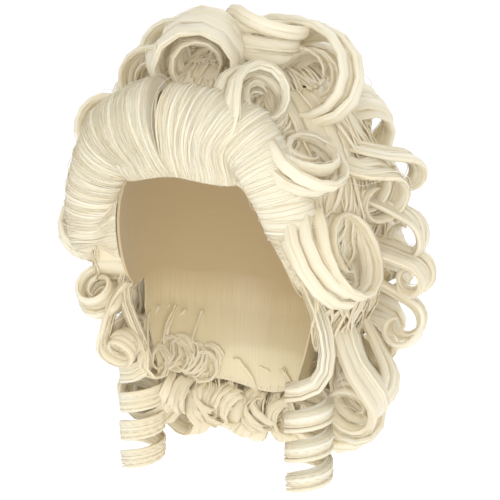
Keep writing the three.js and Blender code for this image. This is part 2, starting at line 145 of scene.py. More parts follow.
# What each section covers of the head: azimuths, and shares of the way down to the rim.
PATCHES = {
    "crown_curls": (-180, 180, 0, 0.255),
    "front_hair_right": (-70, 0, 0.26, 0.97),
    "front_hair_left": (0, 70, 0.26, 0.97),
    "side_curls_right": (-122, -70, 0.26, 0.98),
    "side_curls_left": (70, 122, 0.26, 1.25),
    "back_curls": (122, 238, 0.26, 0.98),
    "nape_curls": (122, 258, 0.98, 1.55),
}

# How full each section is: clumps in its combed sheet, clumps to a lock, strands to a clump, and
# steps round a curl.
FULLNESS = {
    "crown_curls": (0, 7, 3, 21),
    "front_hair_right": (104, 0, 5, 16),
    "front_hair_left": (84, 6, 4, 18),
    "side_curls_right": (0, 4, 4, 18),
    "side_curls_left": (0, 6, 4, 19),
    "back_curls": (0, 4, 2, 16),
    "nape_curls": (22, 4, 2, 15),
}


class Taper(Enum):
    """How a lock closes up towards its end."""

    CURL = 0.5
    RINGLET = 0.9


def linear(hex_colour: int) -> tuple[float, float, float, float]:
    """The linear colour of an sRGB hex value."""
    parts = [((hex_colour >> shift) & 255) / 255 for shift in (16, 8, 0)]
    return (*(c / 12.92 if c <= 0.04045 else ((c + 0.055) / 1.055) ** 2.4 for c in parts), 1.0)


def smoothstep(value: np.ndarray, low: float, high: float) -> np.ndarray:
    """An eased share of the way from low to high."""
    share = np.clip((value - low) / (high - low), 0, 1)
    return share * share * (3 - 2 * share)


def unit(vectors: np.ndarray) -> np.ndarray:
    """The vectors at length one."""
    return vectors / np.maximum(np.linalg.norm(vectors, axis=-1, keepdims=True), 1e-12)


def along(vectors: np.ndarray, onto: np.ndarray) -> np.ndarray:
    """The dot product, kept as a last axis."""
    return np.sum(vectors * onto, axis=-1, keepdims=True)


@dataclass(frozen=True)
class Placed:
    """Places on the head, with the outward normal, the way up and the way round."""

    point: np.ndarray
    out: np.ndarray
    up: np.ndarray
    round: np.ndarray


@dataclass
class HeadForm:
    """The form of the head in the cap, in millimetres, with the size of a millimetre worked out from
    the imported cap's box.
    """

    half_width: float = 78.0
    half_depth: float = 102.0
    crown: float = 100.0
    neck_taper: float = 190.0
    taper_depth: float = 125.0
    cap_wall: float = 2.0
    seat_gap: float = 0.35
    cap_width: float = 159.1  # across the cap that these millimetres describe
    rim: tuple = ((0, 0.72), (38, 0.77), (82, 1.59), (105, 1.53), (135, 1.62), (180, 1.7))
    body: tuple = ((0, 0.1, 0.32, 0.1), (45, 0.12, 0.34, 0.12), (66, 0.3, 0.4, 0.3),
                   (90, 0.5, 0.5, 0.36), (130, 0.6, 0.6, 0.4), (180, 0.6, 0.62, 0.4))
    fullest: float = 0.55
    crown_lift: float = 0.42
    hem: float = 1.55
    hair_lift: float = 80.0
    mm: float = field(init=False)

    def __post_init__(self) -> None:
        """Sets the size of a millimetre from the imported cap."""
        low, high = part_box("cap")
        self.mm = (high[0] - low[0]) / self.cap_width

    def eased(self, table: tuple, az: np.ndarray) -> np.ndarray:
        """A table's values at azimuths, the same on both sides.

        Args:
            table: rows of an azimuth and its values.
            az: azimuths in degrees.

        Returns:
            An array with the azimuths' shape and a last axis of values.
        """
        rows = np.array(table, float)
        turn = np.abs(np.mod(az + 180, 360) - 180)
        nxt = np.clip(np.searchsorted(rows[:, 0], turn), 1, len(rows) - 1)
        a, b = rows[nxt - 1], rows[nxt]
        share = np.clip((turn - a[..., 0]) / (b[..., 0] - a[..., 0]), 0, 1)
        share = (share * share * (3 - 2 * share))[..., None]
        return a[..., 1:] * (1 - share) + b[..., 1:] * share

    def rim_drop(self, az: np.ndarray) -> np.ndarray:
        """The drop of the cap's rim in crown heights."""
        return self.eased(self.rim, az)[..., 0]

    def place(self, az: np.ndarray, drop: np.ndarray, lift: np.ndarray) -> Placed:
        """Places on the head, in millimetres.

        Args:
            az: azimuths from the face in degrees.
            drop: how far down, in crown heights.
            lift: how far off the head.

        Returns:
            The points with their outward, upward and round directions.
        """
        az, drop, lift = np.broadcast_arrays(*(np.asarray(v, float) for v in (az, drop, lift)))
        a = np.radians(az)
        sa, ca = np.sin(a), np.cos(a)
        p = np.minimum(drop, 1) * math.pi / 2
        s, c = np.sin(p), np.cos(p)
        w, d, h = self.half_width, self.half_depth, self.crown
        upper = drop <= 1
        fall = np.maximum(drop - 1, 0) * h
        narrow = np.sqrt(1 - (np.minimum(fall, self.taper_depth) / self.neck_taper) ** 2)
        point = np.stack([w * s * sa * narrow, -d * s * ca * narrow, h * (c - 1) - fall], -1)
        out = unit(np.stack([s * sa / w, -s * ca / d, np.where(upper, c, 0) / h], -1))
        up = np.stack([-w * c * sa, d * c * ca, h * s], -1)
        up = np.where(upper[..., None], up, np.array([0.0, 0.0, 1.0]))
        up = unit(up - out * along(up, out))
        turn = unit(np.stack([w * ca, d * sa, np.zeros_like(ca)], -1))
        return Placed(point + out * lift[..., None], out, up, turn)

    def body_lift(self, az: np.ndarray, down: np.ndarray) -> np.ndarray:
        """How far the hair's body stands off the head under the curls."""
        values = self.eased(self.body, az)
        rim, full, hem = values[..., 0], values[..., 1], values[..., 2]
        upper = self.crown_lift + (full - self.crown_lift) * np.minimum(down / self.fullest, 1)
        lower = full + (rim - full) * smoothstep(down, self.fullest, 1)
        share = np.where(down < self.fullest, upper, lower)
        share = share + (hem - share) * smoothstep(down, 1, self.hem)
        return share * self.hair_lift

    def clearance(self, points: np.ndarray) -> tuple[np.ndarray, np.ndarray]:
        """How far points are off the head, roughly, in millimetres, and the way off it."""
        height = np.maximum(points[..., 2] + self.crown, 0) / self.crown
        fall = np.clip(-(points[..., 2] + self.crown), 0, self.taper_depth)
        narrow = np.sqrt(1 - (fall / self.neck_taper) ** 2)
        scaled = np.stack([points[..., 0] / self.half_width, points[..., 1] / self.half_depth,
                           height], -1)
        reach = np.linalg.norm(scaled, axis=-1)
        slope = scaled / np.array([self.half_width, self.half_depth, self.crown])
        steep = np.linalg.norm(slope, axis=-1) / np.maximum(reach, 1e-6)
        return (reach - narrow) / np.maximum(steep, 1e-6), unit(slope)

    def above_body(self, points: np.ndarray) -> np.ndarray:
        """How far points are above the body of the hair, roughly, in millimetres."""
        az = np.degrees(np.arctan2(points[..., 0], -points[..., 1]))
        height = np.clip(1 + points[..., 2] / self.crown, 0, 1)
        drop = np.where(points[..., 2] < -self.crown, -points[..., 2] / self.crown,
                        np.arccos(height) / (math.pi / 2))
        return self.clearance(points)[0] - self.body_lift(az, drop / self.rim_drop(az))

    def keep_off(self, points: np.ndarray, least: float) -> np.ndarray:
        """The points, with those nearer to the head than the least moved out to it."""
        off, way = self.clearance(points)
        return points + way * np.maximum(least - off, 0)[..., None]


@dataclass(frozen=True)
class Sweeps:
    """The coils that locks follow: a fall from the root, then a spiral about an axis."""

    root: np.ndarray
    rise: np.ndarray
    centre: np.ndarray
    axis: np.ndarray
    start_side: np.ndarray
    start: np.ndarray
    turns: np.ndarray
    radius: np.ndarray
    shrink: float
    pitch: np.ndarray
    ease: float = 0.42

    def coil(self, share: np.ndarray) -> np.ndarray:
        """Points of each spiral at shares of its length: one row a sweep."""
        angle = self.start[:, None] + 2 * math.pi * self.turns[:, None] * share
        r = self.radius[:, None] * (1 - self.shrink * share)
        side = np.cross(self.axis, self.start_side)
        return (self.centre[:, None] + self.start_side[:, None] * (r * np.cos(angle))[..., None]
                + side[:, None] * (r * np.sin(angle))[..., None]
                + self.axis[:, None] * (self.pitch * self.turns)[:, None, None]
                * np.broadcast_to(share, angle.shape)[..., None])

    def paths(self, falls: int, coils: int) -> tuple[np.ndarray, np.ndarray, np.ndarray, int]:
        """Points and frames along every sweep.

        Args:
            falls: steps from the root to the spiral.
            coils: steps round the spiral.

        Returns:
            Points, directions across the lock, directions out of it, and the step at which
            the spiral starts.
        """
        entry = self.coil(np.array([0.0, 0.004]))
        heading = unit(entry[:, 1] - entry[:, 0])
        entry = entry[:, 0]
        reach = np.linalg.norm(entry - self.root, axis=1, keepdims=True) * self.ease
        handles = (self.root, self.root + self.rise * reach, entry - heading * reach, entry)
        t = (np.arange(falls) / falls)[None, :, None]
        weights = ((1 - t) ** 3, 3 * t * (1 - t) ** 2, 3 * t * t * (1 - t), t ** 3)
        fall = sum(w * h[:, None] for w, h in zip(weights, handles))
        points = np.concatenate([fall, self.coil(np.linspace(0, 1, coils + 1))], axis=1)
        tangent = unit(np.gradient(points, axis=1))
        across = np.empty_like(points)
        across[:, falls:] = self.axis[:, None]
        for step in range(falls - 1, -1, -1):
            across[:, step] = across[:, step + 1] - tangent[:, step] * along(
                across[:, step + 1], tangent[:, step])
            across[:, step] = unit(across[:, step])
        across = unit(across - tangent * along(across, tangent))
        return points, across, np.cross(tangent, across), falls


@dataclass
class Strands:
    """Many small closed tubes, gathered as arrays and made into one mesh."""

    points: list = field(default_factory=list)
    quads: list = field(default_factory=list)
    tris: list = field(default_factory=list)
    combs: list = field(default_factory=list)
    tones: list = field(default_factory=list)
    count: int = 0

    def add(self, path: np.ndarray, across: np.ndarray, normal: np.ndarray, wide: np.ndarray,
            thick: np.ndarray, sides: int, tone: np.ndarray, seed: float) -> None:
        """Adds one tube for each path, closed to a point at both ends.

        Args:
            path: points in millimetres, one row a tube.
            across: the direction of each section's width.
            normal: the direction of each section's depth.
            wide: half widths along each tube.
            thick: half depths along each tube.
            sides: how many sides a tube has.
            tone: a lightness for each tube, from 0 to 1.
            seed: sets the streaks of these tubes apart from others.
        """
        tubes, rings = path.shape[:2]
        angle = 2 * math.pi * np.arange(sides) / sides
        ring = (path[:, :, None]
                + across[:, :, None] * (wide[..., None] * np.cos(angle))[..., None]
                + normal[:, :, None] * (thick[..., None] * np.sin(angle))[..., None])
        inner = ring.reshape(tubes, rings * sides, 3)
        ends = path[:, [0, -1]]
        stretch = path[:, [0, -1]] - path[:, [1, -2]]
        self.points.append(np.concatenate([inner, ends + stretch * 0.12], axis=1).reshape(-1, 3))
        base = self.count + np.arange(tubes)[:, None, None] * (rings * sides + 2)
        i, j = np.meshgrid(np.arange(rings - 1), np.arange(sides), indexing="ij")
        k = (j + 1) % sides
        corners = np.stack([i * sides + j, i * sides + k, (i + 1) * sides + k,
                            (i + 1) * sides + j], -1).reshape(1, -1, 4)
        self.quads.append((base + corners).reshape(-1, 4))
        j, k = np.arange(sides), (np.arange(sides) + 1) % sides
        last = (rings - 1) * sides
        first_fan = np.stack([np.full(sides, rings * sides), k, j], -1)
        last_fan = np.stack([np.full(sides, rings * sides + 1), last + j, last + k], -1)
        self.tris.append((base + np.concatenate([first_fan, last_fan])[None]).reshape(-1, 3))
        length = np.cumsum(np.linalg.norm(np.diff(path, axis=1, prepend=path[:, :1]), axis=-1), 1)
        shift = (np.arange(tubes) * 7.31 + seed * 3.7)[:, None, None]
        comb = np.empty((tubes, rings, sides, 3))
        comb[..., 0] = wide[..., None] * np.cos(angle) + shift
        comb[..., 1] = thick[..., None] * np.sin(angle)
        comb[..., 2] = length[..., None]
        comb = comb.reshape(tubes, rings * sides, 3)
        tips = np.stack([comb[:, 0], comb[:, -1]], axis=1)
        self.combs.append(np.concatenate([comb, tips], axis=1).reshape(-1, 3))
        self.tones.append(np.repeat(tone, rings * sides + 2))
        self.count += tubes * (rings * sides + 2)

    def mesh(self, name: str, head: HeadForm, least: float = 0.5) -> bpy.types.Mesh:
        """One mesh in metres of all the tubes, at least that many millimetres off the cap."""
        points = head.keep_off(np.concatenate(self.points), head.cap_wall + least)
        quads, tris = np.concatenate(self.quads), np.concatenate(self.tris)
        mesh = bpy.data.meshes.new(name)
        mesh.vertices.add(len(points))
        mesh.vertices.foreach_set("co", (points * head.mm).astype(np.float32).ravel())
        mesh.loops.add(quads.size + tris.size)
        mesh.loops.foreach_set("vertex_index",
                               np.concatenate([quads.ravel(), tris.ravel()]).astype(np.int32))
        starts = np.concatenate([np.arange(len(quads)) * 4,
                                 quads.size + np.arange(len(tris)) * 3]).astype(np.int32)
        mesh.polygons.add(len(starts))
        mesh.polygons.foreach_set("loop_start", starts)
        mesh.update(calc_edges=True)
        write_fibre_data(mesh, np.concatenate(self.combs), np.concatenate(self.tones),
                         head.above_body(points))
        mesh.shade_smooth()
        return mesh


def write_fibre_data(mesh: bpy.types.Mesh, comb: np.ndarray, tone: np.ndarray,
                     above: np.ndarray) -> None:
    """Stores on each vertex its place in the combing, its lightness and its height in the hair."""
    layer = mesh.attributes.new("comb", "FLOAT_VECTOR", "POINT")
    layer.data.foreach_set("vector", comb.astype(np.float32).ravel())
    for name, values in (("tone", tone), ("above", above)):
        layer = mesh.attributes.new(name, "FLOAT", "POINT")
        layer.data.foreach_set("value", values.astype(np.float32).ravel())


@dataclass
class Tree:
    """A material's node tree, filled one node at a time."""

    material: bpy.types.Material

    def node(self, kind: str, settings: dict | None = None,
             links: dict | None = None) -> bpy.types.ShaderNode:
        """Adds a node.

        Args:
            kind: the node's type name after ShaderNode.
            settings: values for its properties or, by socket name or number, its inputs.
            links: sockets of other nodes, by the input they go to.

        Returns:
            The new node.
        """
        tree = self.material.node_tree
        made = tree.nodes.new("ShaderNode" + kind)
        for key, value in (settings or {}).items():
            if isinstance(key, str) and hasattr(made, key):
                setattr(made, key, value)
            else:
                made.inputs[key].default_value = value
        for key, socket in (links or {}).items():
            tree.links.new(socket, made.inputs[key])
        return made


def new_tree(name: str) -> Tree:
    """An empty node material."""
    material = bpy.data.materials.new(name)
    material.use_nodes = True
    material.node_tree.nodes.clear()
    return Tree(material)


def streaks(tree: Tree, width_mm: float, length_mm: float,
            grain: dict) -> bpy.types.NodeSocket:
    """Streaks drawn out along the combing.

    Args:
        tree: the material's tree.
        width_mm: how wide the streaks are.
        length_mm: how long they are.
        grain: the noise's settings.

    Returns:
        The socket of their lightness.
    """
    comb = tree.node("Attribute", {"attribute_name": "comb"}).outputs["Vector"]
    drawn = tree.node("VectorMath", {
        "operation": "MULTIPLY", 1: (1 / width_mm, 1 / width_mm, 1 / length_mm)}, {0: comb})
    return tree.node("TexNoise", {"Scale": 1.0, "Detail": 3.0, **grain},
                     {"Vector": drawn.outputs["Vector"]}).outputs["Fac"]


@dataclass(frozen=True)
class CurledFibre:
    """Heat-curled pale synthetic fibre: satin streaks along the hair, with painted shade, warmer and
    darker, deep under the curls.
    """

    name: str = "curled_fibre"
    light: int = 0xF9F4E0
    mid: int = 0xF0E3BE
    # painted shade: the colours that hair takes deep under the curls' base
    shade: int = 0xF4E9C8
    deep: int = 0xEEDFB6
    roughness: float = 0.42
    sheen: float = 0.2
    lit_through: float = 0.26  # share of the light that pale fibres let through
    streak_mm: float = 1.2  # real fibres are 0.1 mm: drawn as coarse as shows at this size
    streak_length_mm: float = 60.0
    painted_shade_full_mm: float = -10.0  # how far under the curls' base the painted shade is fullest, as the next is where it has gone
    painted_shade_gone_mm: float = 8.0  # and palest

    def build(self) -> bpy.types.Material:
        """Makes the material."""
        tree = new_tree(self.name)
        streak = streaks(tree, self.streak_mm, self.streak_length_mm, {"Roughness": 0.65})
        tone = tree.node("Attribute", {"attribute_name": "tone"}).outputs["Fac"]
        lightness = tree.node("Math", {"operation": "MULTIPLY_ADD", 1: 0.7},
                              {0: tone, 2: streak}).outputs[0]
        share = tree.node("MapRange", {"From Min": 0.6, "From Max": 1.1},
                          {"Value": lightness}).outputs[0]
        hair = tree.node("Mix", {"data_type": "RGBA", 6: linear(self.mid),
                                 7: linear(self.light)}, {0: share}).outputs[2]
        # Painted shade: the further hair lies under the curls' base, the more it takes the shade
        # colours.
        above = tree.node("Attribute", {"attribute_name": "above"}).outputs["Fac"]
        out_of_painted_shade = tree.node("MapRange", {"From Min": self.painted_shade_full_mm, "From Max": self.painted_shade_gone_mm},
                         {"Value": above}).outputs[0]
        painted_shade_colour = tree.node("Mix", {"data_type": "RGBA", 6: linear(self.deep),
                                7: linear(self.shade)}, {0: share}).outputs[2]
        colour = tree.node("Mix", {"data_type": "RGBA"}, {0: out_of_painted_shade, 6: painted_shade_colour, 7: hair}).outputs[2]
        bump = tree.node("Bump", {"Strength": 0.4, "Distance": 0.0006},
                         {"Height": streak}).outputs["Normal"]
        shader = tree.node("BsdfPrincipled", {
            "Roughness": self.roughness, "Sheen Weight": self.sheen, "Sheen Roughness": 0.5,
            "IOR": 1.45}, {"Base Color": colour, "Normal": bump})
        lit_through = tree.node("BsdfTranslucent", {}, {"Color": colour, "Normal": bump})
        both = tree.node("MixShader", {0: self.lit_through},
                         {1: shader.outputs[0], 2: lit_through.outputs[0]})
        tree.node("OutputMaterial", {}, {"Surface": both.outputs[0]})
        return tree.material


@dataclass(frozen=True)
class NapeFibre:
    """Straight fibre seen from inside the nape: tan by the cap, paling to cream lower down."""

    name: str = "nape_fibre"
    upper: int = 0xB49C6F
    lower: int = 0xD9CBA2
    roughness: float = 0.5
    streak_mm: float = 1.6
    streak_length_mm: float = 70.0
    upper_mm: float = -175.0  # where it starts to pale, and where it is palest
    lower_mm: float = -250.0
    right_rise: float = 0.45  # how much higher it pales towards the wearer's right

    def build(self) -> bpy.types.Material:
        """Makes the material."""
        tree = new_tree(self.name)
        place = tree.node("SeparateXYZ", {}, {0: tree.node("TexCoord").outputs["Object"]})
        right = tree.node("Math", {"operation": "MINIMUM", 1: 0.0},
                          {0: place.outputs["X"]}).outputs[0]
        height = tree.node("Math", {"operation": "MULTIPLY_ADD", 1: self.right_rise},
                           {0: right, 2: place.outputs["Z"]}).outputs[0]
        streak = streaks(tree, self.streak_mm, self.streak_length_mm, {})
        share = tree.node("MapRange", {"From Min": self.upper_mm / 1000,
                                       "From Max": self.lower_mm / 1000},
                          {"Value": height}).outputs[0]
        mixed = tree.node("Math", {"operation": "MULTIPLY_ADD", 1: 0.5, 2: -0.27},
                          {0: streak}).outputs[0]
        share = tree.node("Math", {"operation": "ADD", "use_clamp": True},
                          {0: share, 1: mixed}).outputs[0]
        colour = tree.node("Mix", {"data_type": "RGBA", 6: linear(self.upper),
                                   7: linear(self.lower)}, {0: share}).outputs[2]
        bump = tree.node("Bump", {"Strength": 0.25, "Distance": 0.0005},
                         {"Height": streak}).outputs["Normal"]
        shader = tree.node("BsdfPrincipled", {"Roughness": self.roughness},
                           {"Base Color": colour, "Normal": bump})
        tree.node("OutputMaterial", {}, {"Surface": shader.outputs[0]})
        return tree.material


@dataclass(frozen=True)
class CapNet:
    """Fine knitted cap fabric: a smooth matt tan that pales towards the nape."""

    name: str = "cap_net"
    crown: int = 0xB59E72
    nape: int = 0xB49C6F
    roughness: float = 0.85
    thread_mm: float = 0.9  # between the knitted rows
    top_mm: float = -85.0
    bottom_mm: float = -175.0

    def build(self) -> bpy.types.Material:
        """Makes the material."""
        tree = new_tree(self.name)
        place = tree.node("TexCoord").outputs["Object"]
        height = tree.node("SeparateXYZ", {}, {0: place}).outputs["Z"]
        share = tree.node("MapRange", {
            "From Min": self.top_mm / 1000, "From Max": self.bottom_mm / 1000,
            "interpolation_type": "SMOOTHSTEP"}, {"Value": height}).outputs[0]
        soft = tree.node("Mapping", {"Scale": (90.0, 90.0, 18.0)}, {"Vector": place}).outputs[0]
        patchy = tree.node("TexNoise", {"Scale": 1.0, "Detail": 2.0},
                           {"Vector": soft}).outputs["Fac"]
        mixed = tree.node("Math", {"operation": "MULTIPLY_ADD", 1: 0.3, 2: -0.15},
                          {0: patchy}).outputs[0]
        share = tree.node("Math", {"operation": "ADD", "use_clamp": True},
                          {0: share, 1: mixed}).outputs[0]
        colour = tree.node("Mix", {"data_type": "RGBA", 6: linear(self.crown),
                                   7: linear(self.nape)}, {0: share}).outputs[2]
        knit = tree.node("TexWave", {
            "wave_type": "BANDS", "bands_direction": "Z", "Scale": 1000 / self.thread_mm / 20,
            "Distortion": 0.6}, {"Vector": place}).outputs["Fac"]
        bump = tree.node("Bump", {"Strength": 0.15, "Distance": 0.0003},
                         {"Height": knit}).outputs["Normal"]
        shader = tree.node("BsdfPrincipled", {"Roughness": self.roughness, "Sheen Weight": 0.15},
                           {"Base Color": colour, "Normal": bump})
        tree.node("OutputMaterial", {}, {"Surface": shader.outputs[0]})
        return tree.material


def piece(name: str, mesh: bpy.types.Mesh, material: bpy.types.Material, node: str) -> bpy.types.Object:
    """A finished piece that stands for a node of the frame and rides on its body."""
    made = bpy.data.objects.new(name, mesh)
    bpy.context.scene.collection.objects.link(made)
    mesh.materials.append(material)
    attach(made, "root")
    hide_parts(node)
    mesh.calc_loop_triangles()
    log.info("%s: %d triangles", name, len(mesh.loop_triangles))
    return made


def shell_sheet(bm: bmesh.types.BMesh, columns: int, rows: int) -> list:
    """Starts a sheet of columns by rows faces, and gives each vertex with its two shares."""
    made = bmesh.ops.create_grid(bm, x_segments=columns, y_segments=rows, size=0.5)["verts"]
    return [(v, v.co.x + 0.5, v.co.y + 0.5) for v in made]


def thicken(bm: bmesh.types.BMesh, outer: dict) -> None:
    """Turns a sheet into a closed wall whose outer face goes to the given places.

    Args:
        bm: the mesh that holds the sheet.
        outer: the outer place of each of the sheet's vertices, by its rounded inner place.
    """
    made = bmesh.ops.extrude_face_region(bm, geom=bm.faces[:], use_keep_orig=True)["geom"]
    for vert in (g for g in made if isinstance(g, bmesh.types.BMVert)):
        vert.co = outer[tuple(round(c, 7) for c in vert.co)]
    bmesh.ops.recalc_face_normals(bm, faces=bm.faces[:])


@dataclass
class FabricCap:
    """The fitted cap that carries the hair."""

    head: HeadForm
    columns: int = 88
    rows: int = 26

    def build(self, material: bpy.types.Material) -> bpy.types.Object:
        """Makes the cap as one thin wall."""
        head = self.head

        def place(u: float, v: float, lift: float) -> np.ndarray:
            """A place on the cap, in metres."""
            az = 360 * u - 180
            return head.place(az, v * head.rim_drop(np.array(az)), lift).point * head.mm

        mesh = closed_wall("fabric_cap", self.columns, self.rows, lambda u, v: place(u, v, 0.0),
                           lambda u, v: place(u, v, head.cap_wall))
        return piece("fabric_cap", mesh, material, "cap")


def closed_wall(name: str, columns: int, rows: int, inner: Wall, outer: Wall,
                comb: Wall | None = None, tone: float = 0.5,
                above: float = 8.0) -> bpy.types.Mesh:
    """A closed wall between two surfaces.

    Args:
        name: the mesh's name.
        columns: faces round it.
        rows: faces down it.
        inner: gives the inner place, in metres, at a share round and a share down.
        outer: gives the outer place.
        comb: gives the place in the combing, in millimetres, of hair.
        tone: the lightness of hair.
        above: the height of hair over the curls' base, in millimetres, which sets how much painted
            shade it takes.

    Returns:
        The mesh, with smooth shading.
    """
    bm = bmesh.new()
    layer = bm.verts.layers.float_vector.new("comb")
    tones = bm.verts.layers.float.new("tone")
    depth = bm.verts.layers.float.new("above")
    places = {}
    for vert, u, v in shell_sheet(bm, columns, rows):
        vert.co = inner(u, 1 - v)
        places[tuple(round(c, 7) for c in vert.co)] = outer(u, 1 - v)
        vert[layer] = comb(u, 1 - v) if comb else (0, 0, 0)
        vert[tones] = tone
        vert[depth] = above
    bmesh.ops.remove_doubles(bm, verts=bm.verts[:], dist=1e-6)
    thicken(bm, places)
    mesh = bpy.data.meshes.new(name)
    bm.to_mesh(mesh)
    bm.free()
    mesh.shade_smooth()
    mesh.set_sharp_from_angle(angle=math.radians(50))
    return mesh


@dataclass
class UnderHair:
    """The close hair of one section, which fills it from the cap out to under its curls."""

    head: HeadForm
    section: str
    degrees: float = 3.0  # to a face
    step: float = 0.03  # of the way down to the rim, to a face
    below_curls: float = 3.0
    ripple: float = 1.6
    edge: float = 0.8  # round the head, between sections, in degrees
    over_cap: float = 0.3  # clear of the cap, as the next is of the lining below it
    over_lining: float = 2.4
    cap_end: float = 0.98  # the share of the way down where the lining takes over

    def build(self, material: bpy.types.Material) -> bpy.types.Object:
        """Makes the section's under hair."""
        head = self.head
        az0, az1, top, bottom = PATCHES[self.section]
        if self.section == "side_curls_left":
            bottom = 1.0  # below it the curls' own hair fills the patch
        whole = az1 - az0 >= 360
        edge = 0 if whole else self.edge

        def place(u: float, v: float, raised: bool) -> np.ndarray:
            """A place on the under hair's outer or inner face, in metres."""
            az = az0 + edge + (az1 - az0 - 2 * edge) * u
            down = top + 0.004 + (bottom - top - 0.008) * v
            below = down > self.cap_end
            lift = head.cap_wall + head.seat_gap + (self.over_lining if below else self.over_cap)
            if raised:
                wave = math.sin(math.radians(az) * 40) + 0.6 * math.sin(math.radians(az) * 67 + 1)
                full = head.body_lift(np.array(az), np.array(down)) - self.below_curls
                raised_by = max(float(full) + self.ripple * wave * 0.6 - lift, 1.0)
                thin = min(1.0, 0.1 + 4 * min(u, 1 - u)) if below and not whole else 1.0
                lift += max(raised_by * thin, 1.0)
            drop = down * head.rim_drop(np.array(az)) if top or v > 0 else 0.0
            return head.place(az, drop, lift).point * head.mm

        # Painted shade: the under hair is given tone 0.4, a little darker than the curls' usual 0.5,
        # and a height 4 mm under the curls' base, so it takes the shade colours.
        mesh = closed_wall(self.section + "_under", round((az1 - az0) / self.degrees),
                           max(4, round((bottom - top) / self.step)),
                           lambda u, v: place(u, v, False), lambda u, v: place(u, v, True),
                           lambda u, v: ((az0 + (az1 - az0) * u) * 1.6, 0, v * 150), 0.4, -4.0)
        return piece(self.section + "_under", mesh, material, self.section)


@dataclass
class NapeLining:
    """The smooth inner side of the nape hair, which goes on down from the cap."""

    head: HeadForm
    lift: float = 3.8
    thickness: float = 1.4
    first_az: float = 88.0
    last_az: float = 268.0
    top: float = 1.0
    bottom: float = 1.53
    hem_ragged: float = 0.012
    at_rim: float = 0.15  # off the head at the cap's rim, in millimetres
    eased_over: float = 0.3  # of its height, until it stands at its full lift
    columns: int = 180
    rows: int = 24

    def build(self, material: bpy.types.Material) -> bpy.types.Object:
        """Makes the lining."""
        head = self.head

        def place(u: float, v: float, more: float) -> np.ndarray:
            """A place on the lining, in metres."""
            az = self.first_az + (self.last_az - self.first_az) * u
            ragged = math.sin(az * 1.9) + 0.7 * math.sin(az * 0.83 + 2) + 0.5 * math.sin(az * 3.7)
            down = self.top + (self.bottom + self.hem_ragged * ragged - self.top) * v
            eased = min(v / self.eased_over, 1) ** 2
            lift = self.at_rim + (self.lift - self.at_rim) * eased + more
            return head.place(az, down * head.rim_drop(np.array(az)), lift).point * head.mm

        mesh = closed_wall("nape_lining", self.columns, self.rows,
                           lambda u, v: place(u, v, 0.0),
                           lambda u, v: place(u, v, self.thickness),
                           lambda u, v: (u * 280, 0, v * 100))
        return piece("nape_lining", mesh, material, "nape_curls")


@dataclass(frozen=True)
class Tubes:
    """How large the tubes of one layer of hair are, and how loosely they lie."""

    width: float  # half of it in millimetres, as the next
    thickness: float
    sides: int
    jitter: float
    lift: float
    tone_spread: float


